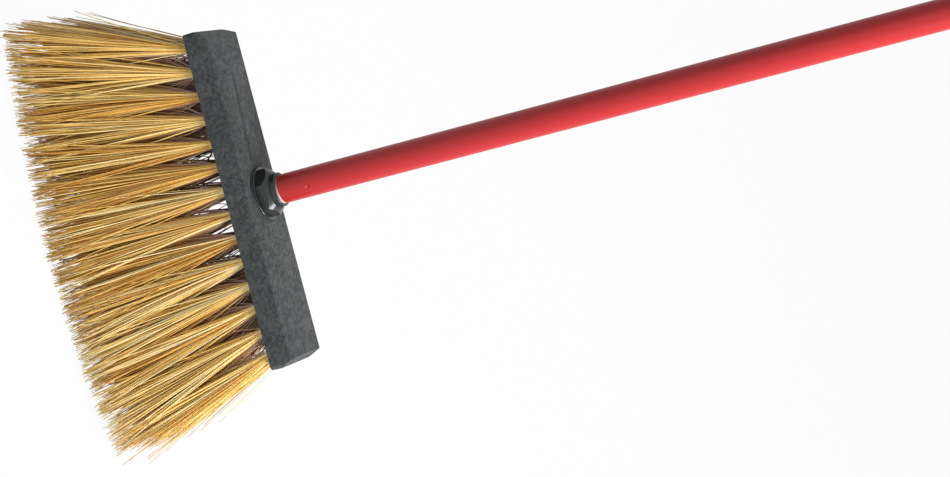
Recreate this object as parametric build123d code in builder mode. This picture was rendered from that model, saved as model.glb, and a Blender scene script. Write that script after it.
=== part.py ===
"""Upright broom: a moulded block set with bristle tufts, and a tube handle on a screw-in collar.

Millimetres, +Z up along the handle, X along the block, -Y to the front.
The origin is on the floor under the handle, with the broom standing on its bristle tips.
"""

import os
from math import cos, radians, sin

from build123d import *

os.makedirs("parts", exist_ok=True)

# Block
block_length = 280
block_depth = 60
block_height = 20  # at the long sides
crown_rise = 1.2  # of the ridge above the long sides
shoulder_radius = 1.5
corner_radius = 4
end_bevel_run = 6  # at the ridge
end_bevel_drop = 11.2  # below the long sides' top

# Tufts and their holes
bristle_trim = 169  # below the block
tuft_diameter = 9
tuft_pitch = 19.6
hole_depth = 13
hole_wall = 5.5  # plastic left between the outer holes and the sides and ends
hole_clearance = 0.1
bare_half_length = 50  # of the middle row, under the handle's socket
end_flare = 38  # of the tip field past the block's ends
side_flare = 18  # of the tip field past the block's sides
end_tip_rise = 10  # of the outermost tips above the floor
flat_tip_half_length = 80  # of the tips that stand on the floor
knee_share = 0.5  # of a strand's drop, at its knee
end_bow = 0.4  # that the end tufts' spread at the knee is ahead of a straight strand's
strand_columns = 4
strand_rows = 3
strand_side = 1.45
strand_seat = 0.3  # into the tuft's root
strand_gap_x = 0.3
strand_gap_y = 0.55
strand_sway = 0.25  # of the room that a tip has

# Staples that anchor the tufts
anchor_thickness = 0.4
anchor_height = 2.2
anchor_bite = 1  # into the hole's wall at each end
anchor_cover = 1.5  # of folded bristle over the staple

# Screw thread between block and collar, right-handed
thread_pitch = 5.08
thread_core_radius = 7.2
thread_depth = 2.2
thread_root_width = 2.9
thread_crest_width = 1.5
thread_clearance = 0.3
thread_sink = 0.2  # of the thread's root into its core
thread_lead_angle = 40  # that the socket's groove starts before the stub's thread

# Seat, washer and collar
seat_radius = 23
seat_rise = 0.5  # above the ridge
washer_radius = 22
washer_thickness = 1.4
washer_edge = 0.4
hex_across_flats = 35
hex_turn = 10  # of a corner round from +X
hex_height = 9.5
hex_chamfer_height = 4.4
hex_top_radius = 15.4
neck_radius = 14.2
neck_height = 4.8
neck_lip = 0.8
stub_undercut = 2  # bare stub between the washer and the thread
stub_tip = 1  # bare stub below the thread
socket_gap = 0.8  # under the stub
socket_floor = 2.4
spigot_past_crimp = 15

# Handle
tube_radius = 12
tube_wall = 0.8
tube_length = 1219
tube_swage = 0.2  # that the tube's end is drawn in to enter the neck
swage_past_neck = 0.5
tube_fit = 0.1
crimp_height = 27  # above the neck
crimp_angle = 18  # round from the front towards +X
crimp_radius = 3.2
crimp_depth = 0.7

# Cap
cap_plug_length = 30
cap_inset = 0.3  # of the cap's outline from the tube's
cap_rim = 4
cap_height = 34
cap_dome = 8
cap_tab_thickness = 13
hang_hole_radius = 4.5
hang_hole_margin = 7  # from the cap's top to the hole

# Levels up the handle
block_base = bristle_trim
side_top = block_base + block_height
ridge_top = side_top + crown_rise
seat_top = ridge_top + seat_rise
hex_base = seat_top + washer_thickness
hex_top = hex_base + hex_height
neck_top = hex_top + neck_height
tube_top = hex_top + tube_length
socket_base = block_base + socket_floor
stub_base = socket_base + socket_gap
thread_start = stub_base + stub_tip + thread_root_width / 2
thread_end = seat_top - stub_undercut - thread_root_width / 2
crimp_level = neck_top + crimp_height
hole_top = block_base + hole_depth
anchor_top = hole_top - hole_clearance - anchor_cover

# Tuft places
hole_radius = tuft_diameter / 2
row_offset = block_depth / 2 - hole_wall - hole_radius
column_count = int((block_length - 2 * (hole_wall + hole_radius)) // tuft_pitch) + 1
column_middle = (column_count - 1) / 2
outer_columns = [(n - column_middle) * tuft_pitch for n in range(column_count)]
gap_columns = [(n + 0.5 - column_middle) * tuft_pitch for n in range(1, column_count - 2)]
middle_columns = [x for x in gap_columns if abs(x) > bare_half_length]
tuft_rows = {
    "front": (-row_offset, outer_columns),
    "middle": (0, middle_columns),
    "rear": (row_offset, outer_columns),
}
tuft_places = [(x, y) for y, columns in tuft_rows.values() for x in columns]

# Field of bristle tips: each tuft spreads over its own cell, so no strand crosses another
tip_half_length = block_length / 2 + end_flare
tip_half_depth = block_depth / 2 + side_flare
tip_cell_x = 2 * tip_half_length / column_count
tip_cell_y = 2 * tip_half_depth / len(tuft_rows)


def thread_ridge(radius, depth, root_width, crest_width, start, turns):
    """A helical ridge that stands out from a cylinder of the given radius."""
    with BuildPart() as ridge:
        with BuildLine():
            coil = Helix(thread_pitch, turns * thread_pitch, radius, center=(0, 0, start))
        with BuildSketch(Plane(coil @ 0, x_dir=(1, 0, 0), z_dir=coil % 0)):
            with BuildLine():
                Polyline(
                    (-thread_sink, -root_width / 2),
                    (-thread_sink, root_width / 2),
                    (depth, crest_width / 2),
                    (depth, -crest_width / 2),
                    close=True,
                )
            make_face()
        sweep(path=coil, is_frenet=True)
    return ridge.part


# Block: roof-topped bar with rounded corners, a raised seat, tuft holes with their staple slots, and the socket
socket_radius = thread_core_radius + thread_clearance
groove_start = thread_start - thread_pitch * thread_lead_angle / 360
groove = thread_ridge(
    socket_radius,
    thread_depth,
    thread_root_width + 2 * thread_clearance,
    thread_crest_width + 2 * thread_clearance,
    groove_start,
    (seat_top - groove_start) / thread_pitch + 1,
)
with BuildPart() as block:
    with BuildSketch(Plane.YZ.offset(-block_length / 2)):
        with BuildLine():
            Polyline(
                (-block_depth / 2, block_base),
                (block_depth / 2, block_base),
                (block_depth / 2, side_top),
                (0, ridge_top),
                (-block_depth / 2, side_top),
                close=True,
            )
        profile = make_face()
        fillet(profile.vertices().group_by(Axis.Y)[1], shoulder_radius)
    extrude(amount=block_length)
    with BuildSketch(Plane.XY.offset(block_base)):
        RectangleRounded(block_length, block_depth, corner_radius)
    extrude(amount=ridge_top - block_base, mode=Mode.INTERSECT)
    with BuildSketch(Plane.XZ):
        with BuildLine():
            Polyline(
                (block_length / 2 - end_bevel_run, ridge_top),
                (block_length / 2, ridge_top),
                (block_length / 2, side_top - end_bevel_drop),
                close=True,
            )
        make_face()
        mirror(about=Plane.YZ)
    extrude(amount=block_depth / 2, both=True, mode=Mode.SUBTRACT)
    with BuildSketch(Plane.XY.offset(side_top - shoulder_radius)):
        Circle(seat_radius)
    extrude(amount=seat_top - side_top + shoulder_radius)
    with BuildSketch(Plane.XY.offset(block_base)):
        with Locations(*tuft_places):
            Circle(hole_radius)
    extrude(amount=hole_depth, mode=Mode.SUBTRACT)
    with BuildSketch(Plane.XY.offset(block_base)):
        with Locations(*tuft_places):
            Rectangle(tuft_diameter + 2 * anchor_bite, anchor_thickness)
    extrude(amount=anchor_top - block_base, mode=Mode.SUBTRACT)
    add(groove, rotation=(0, 0, -thread_lead_angle), mode=Mode.SUBTRACT)
    with BuildSketch(Plane.XY.offset(socket_base)):
        Circle(socket_radius)
    extrude(amount=seat_top - socket_base, mode=Mode.SUBTRACT)
block.part.label = "block"
export_step(block.part, "parts/block.step")


# Tufts: bristles folded over a staple, packed into the hole and spread towards the tips
def tip_height(x):
    """Tips stand on the floor, and rise towards the ends, where the bristles lean out."""
    past_flat = max(0, abs(x) - flat_tip_half_length)
    return end_tip_rise * (past_flat / (tip_half_length - flat_tip_half_length)) ** 2


def strand(root_x, root_y, tip_x, tip_y, bow):
    """One square bristle from inside the hole, over a knee, to its tip."""
    root = Vector(root_x, root_y, block_base + strand_seat)
    tip = Vector(tip_x, tip_y, tip_height(tip_x))
    knee = root + (tip - root) * knee_share + Vector((tip_x - root_x) * bow)
    with BuildPart() as hair:
        for place in (root, knee, tip):
            with BuildSketch(Plane(place)):
                Rectangle(strand_side, strand_side)
        loft(ruled=True)
    return hair.part


def tuft(name, x, y):
    """A round root with a slot for its staple, and strands in columns and rows."""
    cell_x = tip_cell_x / strand_columns
    cell_y = tip_cell_y / strand_rows
    bow = end_bow * (x / outer_columns[-1]) ** 4
    strands = []
    for column in range(strand_columns):
        for row in range(strand_rows):
            across = column - (strand_columns - 1) / 2
            along = row - (strand_rows - 1) / 2
            sway = strand_sway * cell_x * sin(x * (row + 1) + across)
            strands.append(
                strand(
                    x + across * (strand_side + strand_gap_x),
                    y + along * (strand_side + strand_gap_y),
                    x * tip_cell_x / tuft_pitch + across * cell_x + sway,
                    y * tip_cell_y / row_offset + along * cell_y,
                    bow,
                )
            )
    with BuildPart() as bundle:
        with BuildSketch(Plane.XY.offset(block_base)):
            with Locations((x, y)):
                Circle(hole_radius - hole_clearance)
        extrude(amount=hole_depth - hole_clearance)
        with BuildSketch(Plane.XY.offset(anchor_top - anchor_height)):
            with Locations((x, y)):
                Rectangle(tuft_diameter, anchor_thickness)
        extrude(amount=anchor_height, mode=Mode.SUBTRACT)
        add(strands)
    bundle.part.label = name
    export_step(bundle.part, f"parts/{name}.step")


for row_name, (row_y, columns) in tuft_rows.items():
    for number, column_x in enumerate(columns, 1):
        tuft(f"{row_name}_tuft_{number:02d}", column_x, row_y)

# Anchors: a flat-wire staple across each hole, its ends bitten into the block
with BuildPart() as anchors:
    with BuildSketch(Plane.XY.offset(anchor_top - anchor_height)):
        with Locations(*tuft_places):
            Rectangle(tuft_diameter + 2 * anchor_bite, anchor_thickness)
    extrude(amount=anchor_height)
anchors.part.label = "tuft_anchors"
export_step(anchors.part, "parts/tuft_anchors.step")

# Washer: thin disc with eased rims, between the seat and the collar
with BuildPart() as washer:
    with BuildSketch(Plane.XY.offset(seat_top)):
        Circle(washer_radius)
        Circle(thread_core_radius + thread_depth + thread_clearance, mode=Mode.SUBTRACT)
    extrude(amount=washer_thickness)
    rims = washer.edges().filter_by(GeomType.CIRCLE).group_by(SortBy.RADIUS)[-1]
    chamfer(rims, washer_edge)
washer.part.label = "collar_washer"
export_step(washer.part, "parts/collar_washer.step")

# Collar: hexagon with a coned top, a neck that cups the tube's end round a spigot, and a threaded stub
collar_thread = thread_ridge(
    thread_core_radius,
    thread_depth,
    thread_root_width,
    thread_crest_width,
    thread_start,
    (thread_end - thread_start) / thread_pitch,
)
tube_bore = tube_radius - tube_wall
swage_radius = tube_radius - tube_swage
spigot_radius = tube_bore - tube_swage - tube_fit
hex_corner_radius = hex_across_flats / 3**0.5
crimp_centre = tube_radius + crimp_radius - crimp_depth
crimp_x = crimp_centre * sin(radians(crimp_angle))
crimp_y = crimp_centre * cos(radians(crimp_angle))
crimp_places = [(crimp_x, -crimp_y, crimp_level), (-crimp_x, crimp_y, crimp_level)]
with BuildPart() as collar:
    with BuildSketch(Plane.XY.offset(hex_base)):
        RegularPolygon(hex_corner_radius, 6, rotation=hex_turn)
    extrude(amount=hex_height)
    with BuildSketch(Plane.XZ):
        with BuildLine():
            Polyline(
                (0, hex_base),
                (hex_corner_radius, hex_base),
                (hex_corner_radius, hex_top - hex_chamfer_height),
                (hex_top_radius, hex_top),
                (0, hex_top),
                close=True,
            )
        make_face()
    revolve(axis=Axis.Z, mode=Mode.INTERSECT)
    with BuildSketch(Plane.XY.offset(hex_top)):
        Circle(neck_radius)
        Circle(swage_radius + tube_fit, mode=Mode.SUBTRACT)
    extrude(amount=neck_height)
    chamfer(collar.faces().sort_by(Axis.Z)[-1].edges(), neck_lip)
    with BuildSketch(Plane.XY.offset(hex_top)):
        Circle(spigot_radius)
    extrude(amount=crimp_level + spigot_past_crimp - hex_top)
    with Locations(*crimp_places):
        Sphere(crimp_radius + tube_wall + tube_fit, mode=Mode.SUBTRACT)
    with BuildSketch(Plane.XY.offset(stub_base)):
        Circle(thread_core_radius)
    extrude(amount=hex_base - stub_base)
    add(collar_thread)
collar.part.label = "threaded_collar"
export_step(collar.part, "parts/threaded_collar.step")

# Handle: thin steel tube, drawn in where it enters the neck and dented into the spigot on two sides
with BuildPart() as dents:
    with Locations(*crimp_places):
        Sphere(crimp_radius + tube_wall)
    with BuildSketch(Plane.XY.offset(hex_top)):
        Circle(tube_radius - tube_wall / 2)
    extrude(amount=tube_length, mode=Mode.INTERSECT)
with BuildPart() as handle:
    with BuildSketch(Plane.XZ):
        with BuildLine():
            swage_top = neck_top + swage_past_neck
            Polyline(
                (swage_radius - tube_wall, hex_top),
                (swage_radius, hex_top),
                (swage_radius, swage_top),
                (tube_radius, swage_top + tube_swage),
                (tube_radius, tube_top),
                (tube_bore, tube_top),
                (tube_bore, swage_top + tube_swage),
                (swage_radius - tube_wall, swage_top),
                close=True,
            )
        make_face()
    revolve(axis=Axis.Z)
    add(dents.part)
    with Locations(*crimp_places):
        Sphere(crimp_radius, mode=Mode.SUBTRACT)
handle.part.label = "handle_tube"
export_step(handle.part, "parts/handle_tube.step")

# Cap: plug in the tube's end with a domed, flat-sided tab and a hang hole
cap_top = tube_top + cap_height
cap_radius = tube_radius - cap_inset
with BuildPart() as cap:
    with BuildSketch(Plane.XZ):
        with BuildLine():
            dome = TangentArc((0, cap_top), (cap_radius, cap_top - cap_dome), tangent=(1, 0))
            Polyline(
                dome @ 1,
                (cap_radius, tube_top),
                (tube_bore - tube_fit, tube_top),
                (tube_bore - tube_fit, tube_top - cap_plug_length),
                (0, tube_top - cap_plug_length),
                dome @ 0,
            )
        make_face()
    revolve(axis=Axis.Z)
    with BuildSketch(Plane.XY.offset(tube_top + cap_rim)):
        with GridLocations(0, cap_radius + cap_tab_thickness, 1, 2):
            Rectangle(2 * cap_radius, cap_radius)
    extrude(amount=cap_height, mode=Mode.SUBTRACT)
    with BuildSketch(Plane.XZ):
        with Locations((0, cap_top - hang_hole_margin - hang_hole_radius)):
            Circle(hang_hole_radius)
    extrude(amount=cap_radius, both=True, mode=Mode.SUBTRACT)
cap.part.label = "hang_cap"
export_step(cap.part, "parts/hang_cap.step")
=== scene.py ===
"""Upright broom, dressed: bristle tufts, moulded block, screw-in collar and red tube, in a white studio."""

from math import cos, pi, radians, sin

import bpy
import numpy as np
from mathutils import Matrix, Vector


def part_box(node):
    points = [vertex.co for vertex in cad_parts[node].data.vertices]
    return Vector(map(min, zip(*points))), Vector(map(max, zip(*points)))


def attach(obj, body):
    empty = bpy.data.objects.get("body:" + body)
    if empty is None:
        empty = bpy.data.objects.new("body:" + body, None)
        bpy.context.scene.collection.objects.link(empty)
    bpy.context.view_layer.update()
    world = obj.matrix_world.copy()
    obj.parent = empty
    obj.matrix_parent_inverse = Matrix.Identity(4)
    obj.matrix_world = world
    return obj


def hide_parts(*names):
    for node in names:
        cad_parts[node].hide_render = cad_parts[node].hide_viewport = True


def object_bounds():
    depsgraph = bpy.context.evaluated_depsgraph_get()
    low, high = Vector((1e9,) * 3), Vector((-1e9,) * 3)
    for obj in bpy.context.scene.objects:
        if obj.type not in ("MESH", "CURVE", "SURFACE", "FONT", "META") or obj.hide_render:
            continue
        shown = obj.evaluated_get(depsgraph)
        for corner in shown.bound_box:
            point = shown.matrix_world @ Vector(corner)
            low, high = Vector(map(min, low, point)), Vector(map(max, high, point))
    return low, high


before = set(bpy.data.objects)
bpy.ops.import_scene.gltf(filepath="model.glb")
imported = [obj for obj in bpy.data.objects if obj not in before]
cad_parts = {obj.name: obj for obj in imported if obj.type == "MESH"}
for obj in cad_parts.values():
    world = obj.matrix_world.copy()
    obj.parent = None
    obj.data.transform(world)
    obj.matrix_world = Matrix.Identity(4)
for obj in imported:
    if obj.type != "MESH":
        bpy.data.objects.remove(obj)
cad_low, cad_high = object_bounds()

# Block: a bar of dark grey foamed plastic, moulded in one piece with the seat for the collar.
# Its skin is matt and mottled, with pale swirls where the melt flowed. Beyond the socket, where the melt
# met again, a dark knit line runs off the ridge with a pale streak beside it.
mm = 0.001


class Value:
    """A shader socket that takes Python's operators: an expression adds its Math nodes."""

    def __init__(self, socket):
        self.socket = socket

    def node(self, kind, settings=(), inputs=(), output=0):
        """Adds a node to the same tree, its settings first and then its sockets, and gives one output."""
        made = self.socket.id_data.nodes.new("ShaderNode" + kind)
        for name, setting in dict(settings).items():
            if name == "stops":
                ramp = made.color_ramp.elements
                for index, (position, colour) in enumerate(setting):
                    stop = ramp[index] if index < len(ramp) else ramp.new(position)
                    stop.position = position
                    stop.color = (*colour, 1)
            else:
                setattr(made, name, setting)
        for name, value in dict(inputs).items():
            fill(made.inputs[name], value)
        return Value(made.outputs[output])

    def math(self, operation, *terms):
        """One Math node on these values and numbers."""
        return self.node("Math", {"operation": operation}, enumerate(terms))

    def __add__(self, other):
        return self.math("ADD", self, other)

    def __sub__(self, other):
        return self.math("SUBTRACT", self, other)

    def __rsub__(self, other):
        return self.math("SUBTRACT", other, self)

    def __mul__(self, other):
        return self.math("MULTIPLY", self, other)

    def __abs__(self):
        return self.math("ABSOLUTE", self)

    __radd__ = __add__
    __rmul__ = __mul__

    def axis(self, letter):
        """The X, Y or Z of this place."""
        return self.node("SeparateXYZ", {}, {"Vector": self}, output=letter)

    def band(self, start, end):
        """0 up to start, 1 from end, and a smooth step between them."""
        settings = {"interpolation_type": "SMOOTHSTEP"}
        return self.node("MapRange", settings, {"Value": self, "From Min": start, "From Max": end})

    def noise(self, scale, detail=2.0, distortion=0.0):
        """Cloudy noise at this many repeats a metre, about 0.5, with this place as its coordinates."""
        inputs = {"Vector": self, "Scale": scale, "Detail": detail, "Distortion": distortion}
        return self.node("TexNoise", {}, inputs)

    def between(self, low, high):
        """The number that runs from low to high as this value runs from 0 to 1."""
        return self * (high - low) + low

    def tint(self, low, high):
        """The colour that runs from low to high as this value runs from 0 to 1."""
        # A Mix node has sockets of one name for each kind of value, so those for colours go by number
        return self.node("Mix", {"data_type": "RGBA"}, {0: self, 6: low, 7: high}, output=2)

    def bump(self, height):
        """The normal of a surface with this relief, whose full step is the given height in metres."""
        return self.node("Bump", {}, {"Height": self, "Distance": height})


def fill(socket, value):
    """Links a socket to a value of the nodes, or sets it to a number or a colour."""
    if isinstance(value, Value):
        socket.id_data.links.new(value.socket, socket)
    elif socket.type == "RGBA" and len(value) == 3:
        socket.default_value = (*value, 1)
    else:
        socket.default_value = value


def new_finish(name):
    """A new material: gives it, its place coordinates in metres, and a way to set the shader's sockets."""
    material = bpy.data.materials.new(name)
    material.use_nodes = True
    nodes = material.node_tree.nodes
    shader = nodes["Principled BSDF"]
    place = Value(nodes.new("ShaderNodeTexCoord").outputs["Object"])

    def surface(**sockets):
        for socket, value in sockets.items():
            fill(shader.inputs[socket.replace("_", " ")], value)

    return material, place, surface


def dress(node_name, material):
    """Gives a solid of the frame its finish."""
    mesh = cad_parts[node_name].data
    mesh.materials.clear()
    mesh.materials.append(material)


block_dark = (0.021, 0.025, 0.026)
block_pale = (0.118, 0.127, 0.124)
block_roughness = (0.66, 0.52)
block_relief = 0.25 * mm
grain_relief = 0.4  # of block_relief
swirl_weight = 0.22
mottle_weight = 0.38
grain_weight = 0.24
streak_weight = 0.16
knit_start = -105 * mm  # where the line leaves the ridge
knit_slope = 0.105
knit_darkness = 0.85
knit_sides = (2.6 * mm, 1.2 * mm)  # out from its middle: where it begins to show, and where it is full
knit_far_end = (-117 * mm, -87 * mm)
knit_near_end = (-20 * mm, -32 * mm)
streak_offset = 6 * mm
streak_sides = (4.0 * mm, 1.5 * mm)
streak_near_end = (-20 * mm, -60 * mm)

moulded_grey, place, surface = new_finish("moulded_grey")
swirl = place.noise(scale=34, detail=3, distortion=2.4).band(0.40, 0.72)
mottle = place.noise(scale=330, detail=4, distortion=0.6).band(0.34, 0.70)
grain = place.noise(scale=1100, detail=3).band(0.25, 0.75)
length = place.axis("X")
off_knit = place.axis("Y") + (length - knit_start) * knit_slope
knit = abs(off_knit).band(*knit_sides) * length.band(*knit_far_end) * length.band(*knit_near_end)
streak = abs(off_knit + streak_offset).band(*streak_sides) * length.band(*streak_near_end)
paleness = swirl * swirl_weight + mottle * mottle_weight + grain * grain_weight + streak * streak_weight
surface(
    Base_Color=(knit * knit_darkness).tint(paleness.tint(block_dark, block_pale), block_dark),
    Roughness=mottle.between(*block_roughness),
    Specular_IOR_Level=0.2,
    Normal=(grain * grain_relief + mottle - knit).bump(block_relief),
)
dress("block", moulded_grey)

# Staples: flat steel wire, one across each hole, driven in with the folded bristles under it.
# They are out of sight in the holes.
staple_greys = ((0.42, 0.42, 0.41), (0.62, 0.62, 0.60))
staple_roughness = (0.28, 0.48)

staple_steel, place, surface = new_finish("staple_steel")
drawn = place.noise(scale=900)
surface(Base_Color=drawn.tint(*staple_greys), Roughness=drawn.between(*staple_roughness), Metallic=1.0)
dress("tuft_anchors", staple_steel)

# Bristles: stiff straw-coloured fibres, a hundred or more to a tuft, folded and stapled into the block.
# They leave the hole as a tight round bundle and fan out in clumps, leaning to the block's ends, where the
# field is trimmed. The ones inside the head splay wider, but less so beside the socket, and carry painted
# shade: there the straw's colour gives way to darker, browner colours that stand for the shade between the
# rows.
first_seed = 240
round_off = 0.05 * mm  # sizes that differ by less are the same
golden_angle = pi * (3 - 5**0.5)

# Strands
strands_per_tuft = 145
strand_radius = 0.47 * mm
strand_widths = (0.8, 1.15)  # from the thinnest to the thickest, in strand_radius
taper_places = (0, 0.2, 0.75, 1)  # from root to tip
taper_widths = (0.75, 1, 0.95, 0.6)
strand_sides = 4
strand_rings = 8
root_in_hole = 7 * mm
root_pack = 0.68  # how far the roots reach, in the hole's radius
inner_share = 0.25  # how far out from the tuft's middle its inner strands begin, in the tuft's radius
inner_power = 3  # the more, the fewer strands take the inner fan

# Lean and fan
lean = 0.39  # how far a tuft's tips lean out, in its distance from the block's middle
lean_shift = 2 * mm
sway = 0.7 * mm  # of one tuft from the next
fan_outer = 19.5 * mm  # half the width of a tuft at its tips
fan_inner = 44 * mm
fan_range = (0.96, 1.08)  # from the narrowest tuft to the widest
fan_bend_outer = 1.13  # over 1, a strand splays late on its way to the tip, and under 1 early
fan_bend_inner = 0.58
fan_depth = 14 * mm  # half the depth of a middle tuft at its tips
bare_half_length = 50 * mm  # of the stretch beside the socket, which has no middle row
bare_fan = 0.72

# Clumps and waves
scatter = 0.13
clumps = 30
clumped = 0.62  # the share of strands that clumps draw in
clump_pull = (0.4, 0.85)
clump_drift = 3.5 * mm
loose = 0.08  # the share of strands that splay further
loose_reach = 1.8
bow_size = 1.2 * mm
wave_size = 0.4 * mm
wave_turns = (1.0, 2.5)

# Ends and tips
end_from = 120 * mm  # the tufts beyond are the end ones
end_share = 0.3  # how far in from an end tuft's middle its end strands begin, in the tuft's radius
end_hold = {-1: 0.25, 1: 0.55}  # the share of their fan that the end strands lose, at the -X and +X ends
end_edges = {-1: -184 * mm, 1: 174 * mm}
end_ragged = 8 * mm
end_ragged_odds = (0.9, 3.5)  # here and below, the two shape numbers of a beta draw
end_tail = 22 * mm
tailed = 0.12  # the share of strands that the trim leaves longer, by up to end_tail
end_limit = 191 * mm
strays = 0.12  # the share of end strands that stand out
stray_reach = (4 * mm, 26 * mm)
arc_middle = 12 * mm  # where the tip line is lowest
arc_rises = {-1: 11 * mm, 1: 16 * mm}
tip_spread = 0.9  # of half the broom's depth
tip_ragged = 9 * mm
tip_ragged_odds = (2.0, 3.0)

# Colours
clump_tone = 0.48  # the share of a strand's tone that its clump sets
clump_tone_odds = (0.7, 0.6)
strand_tone_odds = (0.6, 0.5)
tone_weight = 0.92
fleck_weight = 0.12
straw_tones = (
    (0.05, (0.45, 0.21, 0.05)),
    (0.28, (0.66, 0.32, 0.05)),
    (0.53, (0.99, 0.66, 0.17)),
    (0.78, (1.0, 0.80, 0.34)),
    (1.00, (1.0, 0.88, 0.56)),
)
straw_root = (0.90, 0.69, 0.31)
straw_roughness = (0.36, 0.56)
root_paleness = 0.5
# Painted shade: colours for the strands inside the head, near the root, deep in it, at its sides and
# towards the tips, in place of the straw's own. The side colour is darkest, to hold down strands that the
# lamps light.
shade_root = (0.75, 0.51, 0.42)
shade_deep = (0.56, 0.37, 0.30)
shade_side = (0.32, 0.21, 0.17)
shade_far = (0.66, 0.36, 0.09)
straw_to_pale = (0.2, 0.04)  # this and the next two run along a strand, from 0 at its root to 1 at its tip
root_to_deep = (0.04, 0.16)
deep_to_far = (0.12, 0.5)
straw_to_shade = (0.10, 0.42)  # this and the next run from 0 at the head's outside to 1 at its middle
side_to_deep = (0.35, 0.9)
column_margin = 0.15  # at each side of a strand's column on the map that the colours are baked on

straw, place, surface = new_finish("straw")
strand_marks = ("tone", "along", "inside")
tone, along, inside = (
    place.node("Attribute", {"attribute_name": mark}, output="Fac") for mark in strand_marks
)
fleck = place.noise(scale=420, detail=3).band(0.3, 0.75)
fibre = place.node("ValToRGB", {"stops": straw_tones}, {"Fac": tone * tone_weight + fleck * fleck_weight})
outer = (along.band(*straw_to_pale) * root_paleness).tint(fibre, straw_root)
# Painted shade: inside the head the straw's colour gives way to the shade colours, by depth and along the
# strand
painted_shade = along.band(*root_to_deep).tint(shade_root, shade_deep)
painted_shade = inside.band(*side_to_deep).tint(shade_side, painted_shade)
painted_shade = along.band(*deep_to_far).tint(painted_shade, shade_far)
surface(
    Base_Color=inside.band(*straw_to_shade).tint(outer, painted_shade),
    Roughness=fleck.between(*straw_roughness),
)

block_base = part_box("block")[0].z
tip_reach = max(abs(cad_low.x), cad_high.x)
tip_depth = max(abs(cad_low.y), cad_high.y)


def hole(node_name):
    """A tuft's hole, from the round root that fills it: its centre, in x and y, and its radius."""
    points = np.array([vertex.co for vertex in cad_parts[node_name].data.vertices])
    plug = points[points[:, 2] > points[:, 2].max() - round_off, :2]
    return (plug.min(0) + plug.max(0)) / 2, np.ptp(plug[:, 0]) / 2


def gather(disc, at_end, draw):
    """Each strand's place in the fan, about -1 to 1 along the block and across it, and its clump."""
    count = len(disc)
    # A disc holds the most strands across its middle, and this spreads them evenly over the fan
    even = (np.arcsin(disc[:, 0]) + disc[:, 0] * np.sqrt(1 - disc[:, 0] ** 2)) * 2 / pi
    spread = np.stack([even, disc[:, 1]], 1) + draw.normal(0, scatter, disc.shape)
    middles = draw.uniform(-1, 1, (clumps, 2))
    nearest = np.argmin(((spread[:, None] - middles[None]) ** 2).sum(2), 1)
    pull = draw.uniform(*clump_pull, count) * (draw.random(count) < clumped)
    spread += (middles[nearest] - spread) * pull[:, None]
    spread[:, 0] *= np.where(draw.random(count) < loose * (1 - at_end), loose_reach, 1)
    return spread, nearest


def trim(root_x, tip_x, draw):
    """The share of its way along the block that each strand keeps where the field's ragged ends cut it."""
    count = len(root_x)
    side = np.where(tip_x > 0, 1, -1)
    ragged = end_ragged * draw.beta(*end_ragged_odds, count)
    ragged += end_tail * draw.random(count) * (draw.random(count) < tailed)
    edge = np.where(side > 0, end_edges[1], end_edges[-1]) + side * ragged
    edge = np.clip(edge, -end_limit, end_limit)
    return np.where(side * tip_x > side * edge, (edge - root_x) / (tip_x - root_x), 1)


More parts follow.
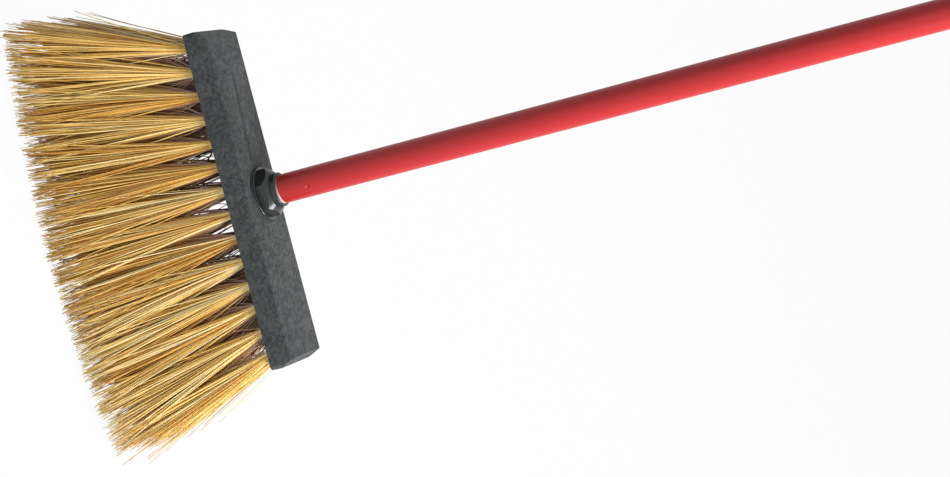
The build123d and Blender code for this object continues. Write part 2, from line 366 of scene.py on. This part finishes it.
def bundle(node_name, draw):
    """One tuft's strands: their lines, as strands by rings by x, y, z, and their marks."""
    count = strands_per_tuft
    centre, hole_radius = hole(node_name)
    end = int(np.sign(centre[0]))
    row = np.sign(centre[1]) * (abs(centre[1]) > round_off)

    # Roots, set out in the hole as seeds are in a sunflower
    number = np.arange(count)
    radius = np.sqrt((number + 0.5) / count)
    angle = number * golden_angle + draw.uniform(0, 2 * pi)
    disc = np.stack([radius * np.cos(angle), radius * np.sin(angle)], 1)
    root = np.column_stack([centre + disc * hole_radius * root_pack, np.full(count, block_base)])
    # How deep in the head each strand lies, which the shader turns into painted shade; the middle row is
    # all inside
    inside = np.clip(inner_share - disc[:, 1] * row, 0, 1) if row else np.ones(count)
    at_end = np.clip(disc[:, 0] * end + end_share, 0, 1) * (abs(centre[0]) > end_from)
    inside *= 1 - at_end
    deep = inside**inner_power * (bare_fan if abs(centre[0]) < bare_half_length else 1)

    # Each strand's way along the block: its own, in the fan, and the lean of the whole tuft
    spread, clump = gather(disc, at_end, draw)
    fan = (fan_outer + (fan_inner - fan_outer) * deep) * draw.uniform(*fan_range)
    drift = draw.normal(0, clump_drift, clumps)[clump]
    held = 1 - end_hold[end] * at_end
    fan_x = (spread[:, 0] * fan + drift) * held - (root[:, 0] - centre[0])
    fan_x += end * (draw.random(count) < strays) * at_end * draw.uniform(*stray_reach, count)
    lean_x = centre[0] * lean + lean_shift + draw.normal(0, sway)
    bend = np.where(at_end > 0, 1, fan_bend_outer) + (fan_bend_inner - fan_bend_outer) * deep

    # Tips, on an arc that rises to both ends, and most of them near the outside of the head
    tip = np.empty((count, 3))
    tip[:, 0] = root[:, 0] + fan_x + lean_x
    if row:
        outward = np.clip((1 + spread[:, 1] * row) / 2, 0, 1)
        tip[:, 1] = row * tip_spread * tip_depth * (1 - (1 - outward) ** 2)
    else:
        tip[:, 1] = spread[:, 1] * fan_depth
    arc_rise = np.where(tip[:, 0] > arc_middle, arc_rises[1], arc_rises[-1])
    tip[:, 2] = arc_rise * ((tip[:, 0] - arc_middle) / tip_reach) ** 2
    tip[:, 2] += tip_ragged * draw.beta(*tip_ragged_odds, count)

    # Lines from the roots to the trimmed tips, bowed and wavy, with a first ring up in the hole
    reach = trim(root[:, 0], tip[:, 0], draw) ** (1 / bend)
    share = reach[:, None] * np.linspace(0, 1, strand_rings)
    line = np.empty((count, strand_rings, 3))
    line[:, :, 0] = root[:, :1] + lean_x * share + fan_x[:, None] * share ** bend[:, None]
    line[:, :, 1:] = root[:, None, 1:] + (tip - root)[:, None, 1:] * share[:, :, None]
    bow = draw.normal(0, bow_size, (count, 2))
    wave = draw.normal(0, wave_size, (count, 2))
    turns = draw.uniform(*wave_turns, (count, 1))
    phase = draw.uniform(0, 2 * pi, (count, 1))
    ripple = np.sin(2 * pi * turns * share + phase) * share
    line[:, :, :2] += bow[:, None] * np.sin(pi * share)[:, :, None] + wave[:, None] * ripple[:, :, None]
    line = np.concatenate([root[:, None] + (0, 0, root_in_hole), line], 1)

    tone = clump_tone * draw.beta(*clump_tone_odds, clumps)[clump]
    tone += (1 - clump_tone) * draw.beta(*strand_tone_odds, count)
    return line, {"tone": tone, "inside": inside}


def strand_mesh(name, line, marks, draw):
    """A mesh with a thin tube along each line, closed at its tip, and the marks for the shader."""
    count, ring_count = line.shape[:2]
    along = np.linspace(0, 1, ring_count)
    width = strand_radius * draw.uniform(*strand_widths, count)
    taper = np.interp(along, taper_places, taper_widths)
    turn = draw.uniform(0, 2 * pi, count)
    corner = 2 * pi * np.arange(strand_sides) / strand_sides
    circle = np.stack([np.cos(turn[:, None] + corner), np.sin(turn[:, None] + corner)], 2)
    rings = line[:, :, None, :].repeat(strand_sides, 2)
    rings[..., :2] += circle[:, None] * (width[:, None] * taper)[:, :, None, None]
    strand_points = ring_count * strand_sides
    faces = []
    for strand in range(count):
        root_ring = strand * strand_points
        tip_ring = root_ring + strand_points - strand_sides
        for ring in range(root_ring, tip_ring, strand_sides):
            next_ring = ring + strand_sides
            for side in range(strand_sides):
                beside = (side + 1) % strand_sides
                faces.append((ring + side, ring + beside, next_ring + beside, next_ring + side))
        faces.append(tuple(range(tip_ring, tip_ring + strand_sides)))
    mesh = bpy.data.meshes.new(name)
    mesh.from_pydata(rings.reshape(-1, 3).tolist(), [], faces)
    mesh.shade_smooth()

    point_marks = {"along": np.tile(along.repeat(strand_sides), count)}
    point_marks |= {mark: value.repeat(strand_points) for mark, value in marks.items()}
    for mark, value in point_marks.items():
        mesh.attributes.new(mark, "FLOAT", "POINT").data.foreach_set("value", value.astype(np.float32))

    # The map that the colours are baked on, with a column for each strand
    corners = np.empty(len(mesh.loops), np.int32)
    mesh.loops.foreach_get("vertex_index", corners)
    across = (corners % strand_sides) / (strand_sides - 1)
    column = (corners // strand_points + column_margin + (1 - 2 * column_margin) * across) / count
    places = np.stack([column, point_marks["along"][corners]], 1)
    mesh.uv_layers.new(name="OFBake").uv.foreach_set("vector", places.astype(np.float32).ravel())
    return mesh


tuft_nodes = sorted(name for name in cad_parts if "_tuft_" in name)
for seed, node_name in enumerate(tuft_nodes, first_seed):
    draw = np.random.default_rng(seed)
    piece_name = node_name.replace("tuft", "bristles")
    line, marks = bundle(node_name, draw)
    tuft = bpy.data.objects.new(piece_name, strand_mesh(piece_name, line, marks, draw))
    bpy.context.scene.collection.objects.link(tuft)
    tuft.data.materials.append(straw)
    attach(tuft, "head")
    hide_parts(node_name)

# Washer: a thin disc of black plastic that the collar is screwed down on.
# Its rim is polished by the mould, so its edge catches the light.
washer_blacks = ((0.006, 0.007, 0.007), (0.018, 0.020, 0.020))
washer_roughness = (0.14, 0.24)

washer_black, place, surface = new_finish("washer_black")
speck = place.noise(scale=700, detail=3)
surface(
    Base_Color=speck.tint(*washer_blacks),
    Roughness=speck.between(*washer_roughness),
    Specular_IOR_Level=0.6,
)
dress("collar_washer", washer_black)

# Collar: black moulded nylon, a hexagon to take a spanner under a round neck that cups the tube.
# It screws into the block by its threaded stub. Its faces are semi-gloss, with a fine mould grain and faint
# flow marks.
collar_blacks = ((0.020, 0.022, 0.022), (0.040, 0.044, 0.042))
collar_roughness = (0.15, 0.25)
collar_relief = 0.03 * mm
speck_weight = 0.6
flow_weight = 0.4

collar_black, place, surface = new_finish("collar_black")
speck = place.noise(scale=520, detail=4)
flow = place.noise(scale=90, distortion=1.5)
surface(
    Base_Color=(speck * speck_weight + flow * flow_weight).tint(*collar_blacks),
    Roughness=speck.between(*collar_roughness),
    Specular_IOR_Level=0.33,
    Normal=speck.bump(collar_relief),
)
dress("threaded_collar", collar_black)

# Tube: thin steel, drawn in at its end and dented into the collar's spigot, and coated red but for a thin
# pale band at the collar, which is partly the uncoated edge and partly a painted highlight: it is skewed so
# that it shows only on the side that the key lights. The coating is satin, with a faint orange peel and
# cloudy streaks along its length.
coating_reds = ((0.40, 0.011, 0.014), (0.47, 0.014, 0.017))
coating_roughness = (0.36, 0.48)
coating_relief = 0.02 * mm
cloud_stretch = (1, 1, 0.12)
uncoated_glint_colour = (0.72, 0.62, 0.58)
uncoated_glint_width = 0.3 * mm
uncoated_glint_edge = 0.1 * mm
lit_side_skew = 0.035

tube_points = np.array([vertex.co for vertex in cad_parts["handle_tube"].data.vertices])
tube_radii = np.hypot(tube_points[:, 0], tube_points[:, 1])
coat_start = tube_points[tube_radii > tube_radii.max() - round_off, 2].min() + uncoated_glint_width
red_coated, place, surface = new_finish("red_coated")
stretched = place.node("Mapping", {}, {"Vector": place, "Scale": cloud_stretch})
cloud = stretched.noise(scale=60, detail=3)
peel = place.noise(scale=1500, detail=1)
# Painted highlight: the pale band widens towards +X, the lit side, and narrows to nothing on the shaded
# side
uncoated_glint = (place.axis("Z") - place.axis("X") * lit_side_skew).band(coat_start + uncoated_glint_edge, coat_start)
surface(
    Base_Color=uncoated_glint.tint(cloud.tint(*coating_reds), uncoated_glint_colour),
    Roughness=cloud.between(*coating_roughness),
    Specular_IOR_Level=0.45,
    Normal=peel.bump(coating_relief),
)
dress("handle_tube", red_coated)

# Cap: a black plastic plug in the tube's far end, with a flat tab and a hole to hang the broom by.
# It is moulded like the collar, with a slightly rougher skin.
cap_blacks = ((0.012, 0.013, 0.013), (0.040, 0.043, 0.042))
cap_roughness = (0.22, 0.42)
cap_relief = 0.04 * mm

cap_black, place, surface = new_finish("cap_black")
speck = place.noise(scale=480, detail=4)
surface(
    Base_Color=speck.tint(*cap_blacks),
    Roughness=speck.between(*cap_roughness),
    Normal=speck.bump(cap_relief),
)
dress("hang_cap", cap_black)

# Studio: a white floor under a white world, a large soft key from above on the side of the handle that the
# picture shows below, a weak fill from the front and a small lamp that draws the collar's edges.
# The floor is white to the camera and keeps a faint shadow.
floor_half = 6.0
floor_paint = (0.7, 0.7, 0.7)
floor_glow = 0.965
ambient = 0.13
white = (1, 1, 1)
head_middle = (0, 0, 0.12)
collar_middle = (0, 0, 0.2)

mesh = bpy.data.meshes.new("floor")
floor_signs = ((-1, -1), (1, -1), (1, 1), (-1, 1))
mesh.from_pydata([(floor_half * x, floor_half * y, 0) for x, y in floor_signs], [], [(0, 1, 2, 3)])
floor = bpy.data.objects.new("floor", mesh)
bpy.context.scene.collection.objects.link(floor)


def white_to_eye(nodes):
    """1 for rays that show the ground or sky to the camera, direct or mirrored, and 0 for their light."""
    rays = nodes.new("ShaderNodeLightPath").outputs
    seen = Value(rays["Is Camera Ray"]) + Value(rays["Is Glossy Ray"]) + Value(rays["Is Transmission Ray"])
    return seen.math("MINIMUM", seen, 1.0)


floor_white = bpy.data.materials.new("floor_white")
floor_white.use_nodes = True
nodes = floor_white.node_tree.nodes
nodes.remove(nodes["Principled BSDF"])
seen = white_to_eye(nodes)
paint = seen.node("BsdfDiffuse", {}, {"Color": floor_paint})
glow = seen.node("Emission", {}, {"Color": white, "Strength": 1.0})
ground = seen.node("MixShader", {}, {"Fac": seen * floor_glow, 1: paint, 2: glow})
fill(nodes["Material Output"].inputs["Surface"], ground)
floor.data.materials.append(floor_white)

world = bpy.data.worlds.new("studio")
bpy.context.scene.world = world
world.use_nodes = True
nodes = world.node_tree.nodes
sky = nodes["Background"].inputs
fill(sky["Color"], white)
fill(sky["Strength"], white_to_eye(nodes).between(ambient, 1))


def soft_light(name, stand, aim, size, power):
    """A square area lamp that stands at one point and is turned to another."""
    lamp = bpy.data.lights.new(name, "AREA")
    lamp.size = size
    lamp.energy = power
    light = bpy.data.objects.new(name, lamp)
    light.location = stand
    light.rotation_euler = (Vector(aim) - Vector(stand)).to_track_quat("-Z", "Y").to_euler()
    bpy.context.scene.collection.objects.link(light)


soft_light("key", stand=(1.87, -0.98, 1.88), aim=head_middle, size=1.1, power=91)
soft_light("front_fill", stand=(-0.4, -2.6, 0.9), aim=head_middle, size=1.6, power=6)
soft_light("edge_light", stand=(1.69, 0.50, 1.98), aim=collar_middle, size=0.55, power=25)

# Camera: in front of the broom and above it, turned on its side so that the handle runs to the right.
# Its angles and distance are read from the block's edges, the tube's edges and the tube's two widths.
view_pixels = 950  # across the picture
lens_pixels = 2551.2
sensor_width = 36
view_distance = 2.021
view_drop = radians(20.53)
view_swing = radians(2.102)
view_roll = radians(-13.983)
view_aim = Vector((0.0769, 0, 0.357))

forward = Vector((sin(view_swing) * cos(view_drop), cos(view_swing) * cos(view_drop), -sin(view_drop)))
along_handle = Vector((0, 0, 1))
level_right = (along_handle - forward * along_handle.dot(forward)).normalized()
level_up = level_right.cross(forward)
right = level_right * cos(view_roll) + level_up * sin(view_roll)
up = level_up * cos(view_roll) - level_right * sin(view_roll)
camera_data = bpy.data.cameras.new("camera")
camera_data.sensor_width = sensor_width
camera_data.lens = lens_pixels * sensor_width / view_pixels
camera = bpy.data.objects.new("camera", camera_data)
turn = Matrix((right, up, -forward)).transposed().to_4x4()
camera.matrix_world = Matrix.Translation(view_aim - forward * view_distance) @ turn
bpy.context.scene.collection.objects.link(camera)
bpy.context.scene.camera = camera
bpy.context.scene.view_settings.view_transform = "Standard"
